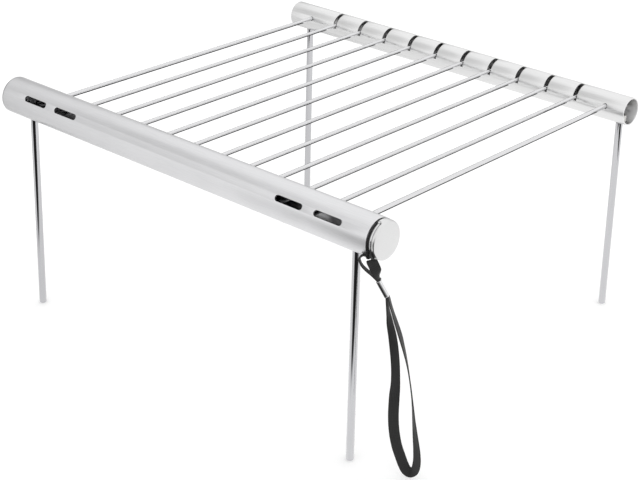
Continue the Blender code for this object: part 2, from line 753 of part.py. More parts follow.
def main():
    clear_scene()
    frame = add_pivot("grill_frame", (0, 0, 0))
    make_main_tube(frame)
    make_end_plug(frame)
    make_rear_rail(frame)
    make_rods(frame)
    make_legs_and_bosses(frame)

    cap_axis = add_pivot("cap_axis", (SHOULDER, 0, AXIS_HEIGHT), frame)
    make_screw_cap(cap_axis)
    make_seal(cap_axis)
    bail_pivot = add_pivot("bail_pivot", (PIVOT, 0, AXIS_HEIGHT), cap_axis)
    make_bail(bail_pivot)
    strap_pivot = add_pivot("strap_pivot", wire_place(), bail_pivot)
    make_strap_eye(strap_pivot)
    make_ferrule(strap_pivot)
    make_strap_loop(strap_pivot)


main()
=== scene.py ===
"""Looks of a take-apart camping grill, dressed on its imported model.

Two steel tubes stand on four screwed-in legs, with twelve rods between them as the grate. A screw
cap with a wire bail and a tape strap closes the front tube.
"""
import math

import bmesh
import bpy
from mathutils import Matrix, Vector


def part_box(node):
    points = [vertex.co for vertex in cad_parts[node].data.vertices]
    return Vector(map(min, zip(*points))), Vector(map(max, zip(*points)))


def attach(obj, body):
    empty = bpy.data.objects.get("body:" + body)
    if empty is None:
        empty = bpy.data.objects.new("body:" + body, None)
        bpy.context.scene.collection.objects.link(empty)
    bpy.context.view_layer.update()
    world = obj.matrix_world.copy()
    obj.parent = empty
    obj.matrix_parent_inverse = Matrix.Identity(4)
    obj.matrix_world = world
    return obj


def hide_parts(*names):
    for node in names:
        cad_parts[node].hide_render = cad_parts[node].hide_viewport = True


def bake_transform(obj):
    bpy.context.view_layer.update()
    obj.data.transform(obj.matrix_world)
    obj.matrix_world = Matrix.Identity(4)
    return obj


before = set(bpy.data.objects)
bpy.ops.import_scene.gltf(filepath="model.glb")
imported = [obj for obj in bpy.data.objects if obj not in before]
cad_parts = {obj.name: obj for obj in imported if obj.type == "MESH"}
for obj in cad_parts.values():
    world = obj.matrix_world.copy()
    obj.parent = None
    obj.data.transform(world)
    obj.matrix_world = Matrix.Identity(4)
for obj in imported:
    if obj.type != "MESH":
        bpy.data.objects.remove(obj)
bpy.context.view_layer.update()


# Front tube. Drawn stainless steel, 25 mm across with a 1.2 mm wall, sanded to a satin finish along
# its length. Four oblong vents are punched through the upper front wall, and the rods' and the
# legs' holes are drilled; every cut edge is broken by a hair.
HAIR_CHAMFER = 0.00015
FRONT_WALL = 0.0012
VENT_CENTRES = (-0.1315, -0.1010, 0.1000, 0.1305)
VENT_LENGTH = 0.0215
VENT_HEIGHT = 0.0040
VENT_RISE = math.radians(30)
# Just short of a full half round, so that the vent's two end fillets don't run into each other
VENT_END_SHARE = 0.999
FIT = 0.0003
NECK_RADIUS = 0.0020
CUT_MARGIN = 0.003
FRONT_CUT = FRONT_WALL + 2 * CUT_MARGIN
WELD = 1e-6
BREAK_ANGLE = math.radians(40)
SMOOTH_ANGLE = math.radians(32)
SATIN_STEEL_LIGHT = "E4E4E5"
SATIN_STEEL_DARK = "CACACC"
GRATE_RODS = ["tie_rod_left"] + [f"grid_rod_{i:02d}" for i in range(1, 11)] + ["tie_rod_right"]
LEGS = ("front_left", "front_right", "rear_left", "rear_right")


def linear(code):
    """A hex sRGB colour as linear light."""
    shares = [int(code[i:i + 2], 16) / 255 for i in (0, 2, 4)]
    return [*(c / 12.92 if c <= 0.04045 else ((c + 0.055) / 1.055) ** 2.4 for c in shares), 1.0]


def add_node(tree, kind, inputs, **settings):
    """One node with its settings; an input is a value, or a node and its output's name or number."""
    made = tree.nodes.new(kind)
    for name, value in settings.items():
        setattr(made, name, value)
    for name, value in inputs.items():
        if isinstance(value, tuple) and isinstance(value[0], bpy.types.Node):
            tree.links.new(value[0].outputs[value[1]], made.inputs[name])
        else:
            made.inputs[name].default_value = value
    return made


def new_material(name, settings):
    """A material with some of its shader's inputs set, its tree and its shader."""
    made = bpy.data.materials.new(name)
    made.use_nodes = True
    shader = made.node_tree.nodes["Principled BSDF"]
    for key, value in settings.items():
        shader.inputs[key].default_value = value
    return made, made.node_tree, shader


def steel(name, light, dark, grain, rough, bump, middle=(0, 0, 0), tarnish=40.0):
    """Stainless steel whose fine grain is noise, stretched by the grain's three scales per metre.

    Slow patches change the roughness as handling does, and the grain lies in colour, gloss and bump.
    """
    made, tree, shader = new_material(name, {"Metallic": 1.0})
    place = add_node(tree, "ShaderNodeTexCoord", {})
    centred = add_node(
        tree, "ShaderNodeMapping", {"Vector": (place, "Object"), "Location": [-c for c in middle]},
    )
    drawn_out = add_node(tree, "ShaderNodeMapping", {"Vector": (centred, "Vector"), "Scale": grain})
    lines = add_node(
        tree, "ShaderNodeTexNoise",
        {"Vector": (drawn_out, "Vector"), "Scale": 1.0, "Detail": 3.0, "Roughness": 0.6},
    )
    patches = add_node(
        tree, "ShaderNodeTexNoise", {"Vector": (centred, "Vector"), "Scale": tarnish, "Detail": 2.0},
    )
    tone = add_node(
        tree, "ShaderNodeMix", {"Factor": (lines, "Fac"), "A": linear(dark), "B": linear(light)},
        data_type="RGBA",
    )
    tree.links.new(tone.outputs["Result"], shader.inputs["Base Color"])
    both = add_node(
        tree, "ShaderNodeMath", {0: (lines, "Fac"), 1: (patches, "Fac")}, operation="ADD",
    )
    gloss = add_node(
        tree, "ShaderNodeMapRange",
        {
            "Value": (both, "Value"), "From Min": 0.6, "From Max": 1.4,
            "To Min": rough[0], "To Max": rough[1],
        },
    )
    tree.links.new(gloss.outputs["Result"], shader.inputs["Roughness"])
    relief = add_node(
        tree, "ShaderNodeBump", {"Height": (lines, "Fac"), "Strength": 1.0, "Distance": bump},
    )
    tree.links.new(relief.outputs["Normal"], shader.inputs["Normal"])
    return made


def spun(profile, steps, ring=False):
    """Spins an outline of (place along X, radius) once round X; a ring's outline is closed."""
    bm = bmesh.new()
    verts = [bm.verts.new((along, 0, radius)) for along, radius in profile]
    pairs = list(zip(verts, verts[1:])) + ([(verts[-1], verts[0])] if ring else [])
    edges = [bm.edges.new(pair) for pair in pairs]
    bmesh.ops.spin(
        bm, geom=verts + edges, cent=(0, 0, 0), axis=(1, 0, 0), angle=2 * math.pi, steps=steps,
        use_merge=True,
    )
    bmesh.ops.remove_doubles(bm, verts=bm.verts, dist=WELD)
    bmesh.ops.recalc_face_normals(bm, faces=bm.faces)
    return bm


def pipe(low, high, radius, bore, steps):
    """A plain tube along X."""
    outline = [(low.x, radius), (high.x, radius), (high.x, bore), (low.x, bore)]
    return spun(outline, steps, ring=True)


def moved(bm, offset, turn=None):
    """Turns a mesh about the origin, and then moves it to its place."""
    if turn:
        angle, axis = turn
        bmesh.ops.rotate(bm, verts=bm.verts, cent=(0, 0, 0), matrix=Matrix.Rotation(angle, 3, axis))
    bmesh.ops.translate(bm, verts=bm.verts, vec=offset)
    return bm


def drill(bm, centre, direction, radius, depth):
    """Adds a round cutter through a point, along a direction."""
    turn = Vector((0, 0, 1)).rotation_difference(Vector(direction)).to_matrix().to_4x4()
    bmesh.ops.create_cone(
        bm, cap_ends=True, segments=32, radius1=radius, radius2=radius, depth=depth,
        matrix=Matrix.Translation(centre) @ turn,
    )


def carved(bm, cutter, operation="DIFFERENCE"):
    """Cuts closed shapes out of a solid, or keeps what they share."""
    pair = []
    for shape in (bm, cutter):
        mesh = bpy.data.meshes.new("carving")
        bmesh.ops.recalc_face_normals(shape, faces=shape.faces)
        shape.to_mesh(mesh)
        shape.free()
        pair.append(bpy.data.objects.new("carving", mesh))
        bpy.context.scene.collection.objects.link(pair[-1])
    modifier = pair[0].modifiers.new("carving", "BOOLEAN")
    modifier.operation = operation
    modifier.solver = "EXACT"
    modifier.object = pair[1]
    cut = bmesh.new()
    cut.from_object(pair[0], bpy.context.evaluated_depsgraph_get())
    for shape in pair:
        old = shape.data
        bpy.data.objects.remove(shape)
        bpy.data.meshes.remove(old)
    return cut


def broken_edges(bm, width=HAIR_CHAMFER):
    """Bevels every sharp edge a little, as a file or a tumbling drum leaves it."""
    bmesh.ops.remove_doubles(bm, verts=bm.verts, dist=2 * WELD)
    sharp = [e for e in bm.edges if len(e.link_faces) == 2 and e.calc_face_angle() > BREAK_ANGLE]
    bmesh.ops.bevel(
        bm, geom=sharp, offset=width, offset_type="OFFSET", segments=2, profile=0.5, affect="EDGES",
        material=-1, clamp_overlap=True,
    )
    return bm


def piece_of(name, bm, material, body, slot, *nodes):
    """The finished piece: smooth but for its sharp edges, for its CAD nodes, riding on its body.

    The body is None for a piece that is attached to no body.
    """
    mesh = bpy.data.meshes.new(name)
    bm.to_mesh(mesh)
    bm.free()
    mesh.shade_smooth()
    mesh.set_sharp_from_angle(angle=SMOOTH_ANGLE)
    mesh.materials.append(material)
    piece = bpy.data.objects.new(name, mesh)
    bpy.context.scene.collection.objects.link(piece)
    if body:
        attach(piece, body)
    if nodes:
        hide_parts(*nodes)
    return piece


def middle_of(node):
    low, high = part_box(node)
    return (low + high) / 2


front_low, front_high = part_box("main_tube")
front_axis = (front_low + front_high) / 2
front_radius = (front_high.z - front_low.z) / 2
front_bore = front_radius - FRONT_WALL
front_tube = pipe(front_low, front_high, front_radius, front_bore, 128)
front_cuts = bmesh.new()
for rod in GRATE_RODS:
    rod_low, rod_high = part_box(rod)
    drill(
        front_cuts, (middle_of(rod).x, front_radius, 0), (0, 1, 0), (rod_high.x - rod_low.x) / 2 + FIT,
        FRONT_CUT,
    )
for leg in LEGS[:2]:
    drill(
        front_cuts, (middle_of(f"leg_{leg}").x, 0, -front_radius), (0, 0, 1), NECK_RADIUS + FIT, FRONT_CUT,
    )
for x in VENT_CENTRES:
    vent = bmesh.new()
    bmesh.ops.create_cube(
        vent, size=1.0, matrix=Matrix.Diagonal((VENT_LENGTH, FRONT_CUT, VENT_HEIGHT, 1.0)),
    )
    ends = [e for e in vent.edges if abs((e.verts[0].co - e.verts[1].co).y) > CUT_MARGIN]
    bmesh.ops.bevel(
        vent, geom=ends, offset=VENT_HEIGHT / 2 * VENT_END_SHARE, segments=10, profile=0.5,
        affect="EDGES", material=-1, clamp_overlap=True,
    )
    moved(vent, (x, -front_radius, 0))
    bmesh.ops.rotate(
        vent, verts=vent.verts, cent=(0, 0, 0), matrix=Matrix.Rotation(-VENT_RISE, 3, "X"),
    )
    vent_mesh = bpy.data.meshes.new("vent")
    vent.to_mesh(vent_mesh)
    vent.free()
    front_cuts.from_mesh(vent_mesh)
    bpy.data.meshes.remove(vent_mesh)
front_tube = broken_edges(carved(front_tube, front_cuts))
moved(front_tube, (0, front_axis.y, front_axis.z))
# Satin stainless: grain lines are about 0.3 mm wide and 12 mm long, coarser than the real 0.1 mm
# scratches so that they show, and the eye sees a soft sheen with faint lengthwise streaks
satin_tube = steel(
    "satin_sanded_stainless_tube", SATIN_STEEL_LIGHT, SATIN_STEEL_DARK, (80, 3300, 3300),
    rough=(0.30, 0.42), bump=0.000012, middle=front_axis,
)
piece_of("front_tube", front_tube, satin_tube, "root", "satin_tube", "main_tube")


# End plug. A stainless cup pressed into the front tube's left end, with a rounded flange as wide as
# the tube, turned and sanded to match it.
PLUG_FLANGE = 0.0010
PLUG_ROUNDING = 0.0008
PLUG_WALL = 0.0016
plug_low, plug_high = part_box("end_plug")
plug_inner = front_bore - FIT
plug_start = plug_low.x + PLUG_FLANGE
# A quarter round in steps of ten degrees
rounding = [
    (
        plug_low.x + PLUG_ROUNDING * (1 - math.cos(math.radians(10 * step))),
        front_radius - PLUG_ROUNDING * (1 - math.sin(math.radians(10 * step))),
    )
    for step in range(10)
]
end_plug = spun(
    [
        (plug_low.x, 0.0), (plug_low.x, front_radius / 2), *rounding, (plug_start, front_radius),
        (plug_start, plug_inner), (plug_high.x, plug_inner), (plug_high.x, plug_inner - PLUG_WALL),
        (plug_start + PLUG_WALL, plug_inner - PLUG_WALL), (plug_start + PLUG_WALL, 0.0),
    ],
    steps=128,
)
moved(end_plug, (0, front_axis.y, front_axis.z))
# Satin turned stainless: a fine even grain, with a soft sheen like the tube's
turned_plug = steel(
    "satin_turned_stainless_plug", SATIN_STEEL_LIGHT, SATIN_STEEL_DARK, (900, 900, 900),
    rough=(0.30, 0.40), bump=0.00001, middle=front_axis,
)
piece_of("tube_end_plug", end_plug, turned_plug, "root", "satin_tube", "end_plug")


# Rear tube. Drawn stainless steel, 20 mm across with a 0.9 mm wall, brushed brighter than the front
# one. A slot for each loose rod runs from rod height over the top, a little deeper and further back
# than the solid's, as the picture shows it. Two round holes take the tie rods.
REAR_WALL = 0.0009
REAR_CUT = REAR_WALL + 2 * CUT_MARGIN
SLOT_PAST_TOP = 0.0008
SLOT_DROP = 0.0006
rear_low, rear_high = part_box("rear_rail")
rear_axis = (rear_low + rear_high) / 2
rear_radius = (rear_high.z - rear_low.z) / 2
rear_bore = rear_radius - REAR_WALL
rear_tube = pipe(rear_low, rear_high, rear_radius, rear_bore, 112)
rod_level = front_axis.z - rear_axis.z
rear_cuts = bmesh.new()
for rod in GRATE_RODS:
    rod_low, rod_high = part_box(rod)
    half = (rod_high.x - rod_low.x) / 2 + FIT
    x = middle_of(rod).x
    if rod.startswith("tie"):
        drill(rear_cuts, (x, -rear_radius, rod_level), (0, 1, 0), half, REAR_CUT)
        continue
    slot_low = Vector((x - half, -rear_radius - CUT_MARGIN, rod_level - half - SLOT_DROP))
    slot_high = Vector((x + half, SLOT_PAST_TOP, rear_radius + CUT_MARGIN))
    size = slot_high - slot_low
    bmesh.ops.create_cube(
        rear_cuts, size=1.0,
        matrix=Matrix.Translation((slot_low + slot_high) / 2) @ Matrix.Diagonal((*size, 1.0)),
    )
for leg in LEGS[2:]:
    drill(
        rear_cuts, (middle_of(f"leg_{leg}").x, 0, -rear_radius), (0, 0, 1), NECK_RADIUS + FIT, REAR_CUT,
    )
rear_tube = broken_edges(carved(rear_tube, rear_cuts))
moved(rear_tube, (0, rear_axis.y, rear_axis.z))
# Brushed stainless, brighter and smoother than the front tube's, so its light comes in sharper streaks
brushed_tube = steel(
    "brushed_stainless_tube", "EAEAEA", "D2D2D2", (60, 2800, 2800),
    rough=(0.27, 0.37), bump=0.00001, middle=rear_axis,
)
piece_of("rear_tube", rear_tube, brushed_tube, "rail", "polished_tube", "rear_rail")


# Leg bosses. Small turned stainless nuts inside the tubes, welded over the legs' holes; their feet
# follow the round wall, and the one at the rear tube's right mouth shows from outside.
BOSS_RADIUS = 0.0045
BOSS_HEIGHT = 0.0050
# The top's outer edge is broken in two facets, and its mouth has one lead-in facet
BOSS_FACET = 0.0006
BOSS_NOSE = 0.0002
BOSS_TOP_INSET = 0.0007
BOSS_LEAD_IN = 0.0004
BORE_REACH = 0.01
# Turned stainless, a little yellow from the weld's heat and uneven in its gloss
boss_steel = steel(
    "turned_stainless_boss", "DEDDDA", "BFBEBB", (1500, 1500, 400), rough=(0.22, 0.38), bump=0.00001,
)
for leg in LEGS:
    at_front = leg.startswith("front")
    axis = front_axis if at_front else rear_axis
    bore = front_bore if at_front else rear_bore
    boss = spun(
        [
            (-BOSS_HEIGHT, BOSS_RADIUS), (BOSS_HEIGHT - BOSS_FACET, BOSS_RADIUS),
            (BOSS_HEIGHT - BOSS_NOSE, BOSS_RADIUS - BOSS_NOSE),
            (BOSS_HEIGHT, BOSS_RADIUS - BOSS_TOP_INSET), (BOSS_HEIGHT, NECK_RADIUS + BOSS_TOP_INSET),
            (BOSS_HEIGHT - BOSS_LEAD_IN, NECK_RADIUS + FIT),
            (-BOSS_HEIGHT, NECK_RADIUS + FIT),
        ],
        steps=48, ring=True,
    )
    moved(boss, (0, 0, -bore), (-math.pi / 2, "Y"))
    inside = spun(
        [(-BORE_REACH, 0.0), (-BORE_REACH, bore - FIT), (BORE_REACH, bore - FIT), (BORE_REACH, 0.0)],
        steps=112,
    )
    boss = carved(boss, inside, "INTERSECT")
    moved(boss, (middle_of(f"leg_boss_{leg}").x, axis.y, axis.z))
    piece_of(
        f"{leg}_boss", boss, boss_steel, "root" if at_front else "rail", "boss_steel", f"leg_boss_{leg}",
    )


# Legs. Polished stainless rods, 5 mm thick, with a chamfered foot and a turned-down M4 neck that
# screws up into the boss until the shoulder meets the tube.
LEG_CHAMFER = 0.0005
NECK_PITCH = 0.0007
NECK_ROOT = 0.0016
# The foot's rounded corner, as shares of its chamfer along the leg and across it
FOOT_CORNER = (0.4, 0.35)
# Where a thread's crest starts and ends, as shares of its pitch
CREST = (0.44, 0.56)


def threaded(root, crest, pitch, length, steps):
    """A threaded solid from 0 to length along X: one tooth is swept round and along as a helix."""
    bm = bmesh.new()
    tooth = [(0, root), (CREST[0], crest), (CREST[1], crest), (1, root)]
    verts = [bm.verts.new(((share - 2) * pitch, 0, radius)) for share, radius in tooth]
    edges = [bm.edges.new(pair) for pair in zip(verts, verts[1:])]
    turns = math.ceil(length / pitch) + 3
    bmesh.ops.spin(
        bm, geom=verts + edges, cent=(0, 0, 0), axis=(1, 0, 0), angle=2 * math.pi * turns,
        steps=steps * turns, dvec=(pitch / steps, 0, 0),
    )
    bmesh.ops.remove_doubles(bm, verts=bm.verts, dist=WELD)
    for place, direction in ((0.0, -1), (length, 1)):
        bmesh.ops.bisect_plane(
            bm, geom=bm.verts[:] + bm.edges[:] + bm.faces[:], plane_co=(place, 0, 0),
            plane_no=(direction, 0, 0), clear_outer=True, dist=1e-7,
        )
        rim = [e for e in bm.edges if e.is_boundary and all(abs(v.co.x - place) < WELD for v in e.verts)]
        bmesh.ops.holes_fill(bm, edges=rim, sides=0)
    bmesh.ops.recalc_face_normals(bm, faces=bm.faces)
    return bm


def run_in(bm, limit_at):
    """Pulls a thread in where it stands out past the radius allowed at that place along X."""
    for vert in bm.verts:
        limit = limit_at(vert.co.x)
        reach = math.hypot(vert.co.y, vert.co.z)
        if reach > limit:
            vert.co.y *= limit / reach
            vert.co.z *= limit / reach
    return bm


def join(bm, other):
    """Adds another mesh's shells to this one."""
    mesh = bpy.data.meshes.new("shell")
    other.to_mesh(mesh)
    other.free()
    bm.from_mesh(mesh)
    bpy.data.meshes.remove(mesh)
    return bm


# Polished stainless rod: near mirror, with hair lines left by the polishing belt along the rod
polished_leg = steel(
    "polished_stainless_leg", "C6C6C8", "B4B4B7", (4000, 4000, 60),
    rough=(0.07, 0.14), bump=0.000004,
)
for leg in LEGS:
    leg_low, leg_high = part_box(f"leg_{leg}")
    radius = (leg_high.x - leg_low.x) / 2
    axis = front_axis if leg.startswith("front") else rear_axis
    tube_radius = front_radius if leg.startswith("front") else rear_radius
    shoulder = axis.z - tube_radius - FIT
    shank = spun(
        [
            (0.0, 0.0), (0.0, radius - LEG_CHAMFER),
            (LEG_CHAMFER * FOOT_CORNER[0], radius - LEG_CHAMFER * FOOT_CORNER[1]),
            (LEG_CHAMFER, radius), (shoulder - HAIR_CHAMFER, radius), (shoulder, radius - HAIR_CHAMFER),
            (shoulder, 0.0),
        ],
        steps=40,
    )
    neck = threaded(NECK_ROOT, NECK_RADIUS, NECK_PITCH, leg_high.z - shoulder, 24)
    full_thread = leg_high.z - shoulder - LEG_CHAMFER
    run_in(neck, lambda along: NECK_RADIUS - max(0.0, along - full_thread))
    moved(neck, (shoulder, 0, 0))
    whole = join(shank, neck)
    centre = (leg_low + leg_high) / 2
    moved(whole, (centre.x, centre.y, 0), (-math.pi / 2, "Y"))
    piece_of(f"{leg}_leg_rod", whole, polished_leg, f"{leg}_leg", "polished_leg", f"leg_{leg}")


# Grate rods. Ten loose 2.8 mm polished stainless rods lie in the rear tube's slots, and two 3.1 mm
# tie rods at the sides hold the tubes together. Their ends are cut square and chamfered.
ROD_CHAMFER = 0.0004
# Polished stainless wire rod: mirror bright, with drawing lines along it
polished_rod = steel(
    "polished_stainless_grate_rod", "DEDEDF", "CBCBCD", (4500, 50, 4500),
    rough=(0.07, 0.15), bump=0.000004,
)
for rod in GRATE_RODS:
    rod_low, rod_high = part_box(rod)
    radius = (rod_high.x - rod_low.x) / 2
    centre = (rod_low + rod_high) / 2
    bar = spun(
        [
            (rod_low.y, 0.0), (rod_low.y, radius - ROD_CHAMFER), (rod_low.y + ROD_CHAMFER, radius),
            (rod_high.y - ROD_CHAMFER, radius), (rod_high.y, radius - ROD_CHAMFER), (rod_high.y, 0.0),
        ],
        steps=32,
    )
    moved(bar, (centre.x, 0, centre.z), (math.pi / 2, "Z"))
    body = "root" if rod.startswith("tie") else rod.replace("grid_", "")
    piece_of(rod + "_bar", bar, polished_rod, body, "polished_rod", rod)


# Sealing ring. Black rubber, half a millimetre thick, squeezed between the tube's end and the cap,
# where it shows as the dark line at the joint.
SEAL_EDGE = 0.0002
SEAL_STEP = 0.0003
RUBBER_DARK = "141414"
RUBBER_LIGHT = "2A2A2A"


def rubber(name):
    """Black rubber: matt, with a faint moulded grain."""
    made, tree, shader = new_material(name, {"Roughness": 0.62, "IOR": 1.52})
    place = add_node(tree, "ShaderNodeTexCoord", {})
    grain = add_node(
        tree, "ShaderNodeTexNoise", {"Vector": (place, "Object"), "Scale": 2500.0, "Detail": 2.0},
    )
    tone = add_node(
        tree, "ShaderNodeMix",
        {"Factor": (grain, "Fac"), "A": linear(RUBBER_DARK), "B": linear(RUBBER_LIGHT)},
        data_type="RGBA",
    )
    tree.links.new(tone.outputs["Result"], shader.inputs["Base Color"])
    relief = add_node(
        tree, "ShaderNodeBump", {"Height": (grain, "Fac"), "Strength": 0.6, "Distance": 0.00003},
    )
    tree.links.new(relief.outputs["Normal"], shader.inputs["Normal"])
    return made


seal_low, seal_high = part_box("cap_seal")
seal_radius = (seal_high.z - seal_low.z) / 2
seal_inner = front_bore - FIT + SEAL_STEP
seal = spun(
    [
        (seal_low.x, seal_inner), (seal_low.x, seal_radius - SEAL_EDGE),
        (middle_of("cap_seal").x, seal_radius), (seal_high.x, seal_radius - SEAL_EDGE),
        (seal_high.x, seal_inner),
    ],
    steps=96, ring=True,
)
moved(seal, (0, front_axis.y, front_axis.z))
# Black nitrile rubber: matt, so that the joint shows as a dark line
piece_of("sealing_ring", seal, rubber("black_nitrile_rubber"), "seal", "seal_rubber", "cap_seal")


# Screw cap. Turned stainless, hollow behind, with a threaded spigot that screws into the front tube.
# Its edge is a crown with a bright chamfer round the sanded face, and half of it is grooved for the
# wire bail, whose ends go into two drilled holes.
CAP_RADIUS = 0.0122
CAP_FACE = 0.0044
CAP_CHAMFER = 0.00045
BAIL_SETBACK = 0.00135
BAIL_TILT = math.radians(72.4)
WIRE_RADIUS = 0.0008
BAIL_RADIUS = 0.0133
GROOVE_RADIUS = 0.0111
GROOVE_END = 0.0031
SPIGOT_WALL = 0.0017
SPIGOT_FLOOR = 0.0010
THREAD_PITCH = 0.0015
THREAD_DEPTH = 0.0006
THREAD_OVERLAP = 0.00005
THREAD_START = 0.0008
# The plain groove between the thread and the shoulder, and where it rises again to the shoulder
RELIEF_START = 0.0012
RELIEF_END = 0.0009
BACK_EDGE = 0.0002
CROWN_STEPS = 12
CAP_EDGE_BREAK = 0.0001
BAIL_HOLE_DEPTH = 0.0030
BAIL_HOLE_RADIUS = 0.00105


def ring_direction(angle):
    """Outward from the cap's axis; the angle is the height above the front."""
    return Vector((0, -math.cos(angle), math.sin(angle)))


cap_low, cap_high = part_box("screw_cap")
shoulder_x = cap_high.x - CAP_FACE
spigot_radius = front_bore - FIT
crown = []
for step in range(CROWN_STEPS + 1):
    along = BAIL_SETBACK + (CAP_FACE - CAP_CHAMFER - BAIL_SETBACK) * step / CROWN_STEPS
    crown.append((along, math.sqrt(CAP_RADIUS ** 2 - (along - BAIL_SETBACK) ** 2)))
lip = crown[-1][1]
spigot_end = cap_low.x - shoulder_x
cap = spun(
    [
        (-SPIGOT_FLOOR, 0.0), (-SPIGOT_FLOOR, spigot_radius - SPIGOT_WALL),
        (spigot_end, spigot_radius - SPIGOT_WALL), (spigot_end, spigot_radius - THREAD_DEPTH),
        (-RELIEF_START, spigot_radius - THREAD_DEPTH), (-RELIEF_END, spigot_radius), (0.0, spigot_radius),
        (0.0, CAP_RADIUS - BACK_EDGE), (BACK_EDGE, CAP_RADIUS), *crown,
        (CAP_FACE, lip - CAP_CHAMFER), (CAP_FACE, lip / 2), (CAP_FACE, 0.0),
    ],
    steps=128,
)
groove = bmesh.new()
groove_start = ring_direction(BAIL_TILT)
corners = [
    (-FIT, GROOVE_RADIUS), (GROOVE_END, GROOVE_RADIUS), (GROOVE_END, CAP_RADIUS + CUT_MARGIN),
    (-FIT, CAP_RADIUS + CUT_MARGIN),
]
groove_verts = [groove.verts.new(Vector((x, 0, 0)) + groove_start * radius) for x, radius in corners]
groove_edges = [groove.edges.new(pair) for pair in zip(groove_verts, groove_verts[1:] + groove_verts[:1])]
bmesh.ops.spin(
    groove, geom=groove_verts + groove_edges, cent=(0, 0, 0), axis=(1, 0, 0), angle=math.pi, steps=64,
)
bmesh.ops.holes_fill(groove, edges=[e for e in groove.edges if e.is_boundary], sides=4)
cap = carved(cap, groove)
bail_holes = bmesh.new()
for tilt in (BAIL_TILT, BAIL_TILT - math.pi):
    depth = BAIL_HOLE_DEPTH + CUT_MARGIN
    reach = CAP_RADIUS - BAIL_HOLE_DEPTH + depth / 2
    middle = Vector((BAIL_SETBACK, 0, 0)) + ring_direction(tilt) * reach
    drill(bail_holes, middle, ring_direction(tilt), BAIL_HOLE_RADIUS, depth)
cap = broken_edges(carved(cap, bail_holes), width=CAP_EDGE_BREAK)
spigot = threaded(
    spigot_radius - THREAD_DEPTH - THREAD_OVERLAP, spigot_radius, THREAD_PITCH,
    shoulder_x - RELIEF_START - cap_low.x, 64,
)
run_in(spigot, lambda along: spigot_radius * (
    1 - max(0.0, THREAD_START - along) / THREAD_START * THREAD_DEPTH / spigot_radius
))
moved(spigot, (spigot_end, 0, 0))
cap = join(cap, spigot)
moved(cap, (shoulder_x, front_axis.y, front_axis.z))
# Satin turned stainless: a flat pale face with very fine sanding marks
satin_cap = steel(
    "satin_turned_stainless_cap", "DFDFDF", "CFCFCF", (500, 2600, 2600), rough=(0.26, 0.36),
    bump=0.000008, middle=(shoulder_x, front_axis.y, front_axis.z), tarnish=60.0,
)
piece_of("screw_cap_body", cap, satin_cap, "cap", "satin_cap", "screw_cap")


# Wire bail. One piece of 1.6 mm polished stainless wire, bent to a half ring with its ends turned in,
# sprung into the cap's two holes.
BAIL_BEND = 0.0012
bail_centre = Vector((shoulder_x + BAIL_SETBACK, front_axis.y, front_axis.z))
wire = bmesh.new()
inward_start = ring_direction(BAIL_TILT) * (CAP_RADIUS - BAIL_HOLE_DEPTH + FIT)
facing = Vector((0, 0, 1)).rotation_difference(ring_direction(BAIL_TILT)).to_matrix().to_4x4()
bmesh.ops.create_circle(
    wire, cap_ends=True, radius=WIRE_RADIUS, segments=20, matrix=Matrix.Translation(inward_start) @ facing,
)
section_face = wire.faces[:]
bend_place = BAIL_RADIUS - BAIL_BEND
# How much of the half ring each bend at its ends takes up
bend_share = math.atan(BAIL_BEND / BAIL_RADIUS)


def sweep(faces, cent, axis, angle, steps):
    """Carries the wire's end on round a centre, and gives its new end."""
    made = bmesh.ops.spin(wire, geom=faces, cent=cent, axis=axis, angle=angle, steps=steps)
    return [item for item in made["geom_last"] if isinstance(item, bmesh.types.BMFace)]


def push(faces, offset):
    """Carries the wire's end straight on."""
    made = bmesh.ops.extrude_face_region(wire, geom=faces)
    verts = [item for item in made["geom"] if isinstance(item, bmesh.types.BMVert)]
    bmesh.ops.translate(wire, verts=verts, vec=offset)
    bmesh.ops.delete(wire, geom=faces, context="FACES_ONLY")
    return [item for item in made["geom"] if isinstance(item, bmesh.types.BMFace)]


first_out = ring_direction(BAIL_TILT)
first_along = ring_direction(BAIL_TILT - math.pi / 2)
last_out = ring_direction(BAIL_TILT - math.pi)
end_faces = push(section_face, first_out * (bend_place - inward_start.length))
end_faces = sweep(
    end_faces, first_out * bend_place + first_along * BAIL_BEND, (1, 0, 0), -math.pi / 2, 8,
)
end_faces = sweep(end_faces, (0, 0, 0), (1, 0, 0), math.pi - 2 * bend_share, 72)
wire_end = ring_direction(BAIL_TILT - math.pi + bend_share) * BAIL_RADIUS
end_faces = sweep(end_faces, wire_end - wire_end.normalized() * BAIL_BEND, (1, 0, 0), math.pi / 2, 8)
push(end_faces, -last_out * (bend_place - inward_start.length))
bmesh.ops.recalc_face_normals(wire, faces=wire.faces)
moved(wire, bail_centre)
# Polished stainless wire, a little duller than the rods where it was bent
polished_wire = steel(
    "polished_stainless_wire", "DCDCDC", "BEBEC0", (1800, 1800, 1800), rough=(0.08, 0.18), bump=0.000004,
)
piece_of("wire_bail", wire, polished_wire, "bail", "polished_wire", "cap_bail")


# Strap. Black woven polyester tape, 6.4 mm wide. It goes round the wire bail as a small eye, both
# strands pass through a crimped sleeve, and below it the tape hangs as the wrist loop, slightly twisted.
TAPE_WIDTH = 0.0064
TAPE_THICKNESS = 0.0008
TAPE_ON_WIRE = math.radians(-32)
TAPE_WIRE_GAP = 0.0003
STRAND_SPACING = 0.00104
STRAND_IN_FERRULE = 0.0032
FERRULE_WALL = 0.00035
FERRULE_ROUNDING = 0.0008
FERRULE_ROLL = 0.0002
# How much of the wall's thickness the sleeve's ends are rolled in by
ROLLED_IN = 0.5
WEFT_SPACING = 0.0011
WARP_SPACING = 0.0009
# A wave texture of scale 1 draws about this many bands in a metre
BANDS = 3.2
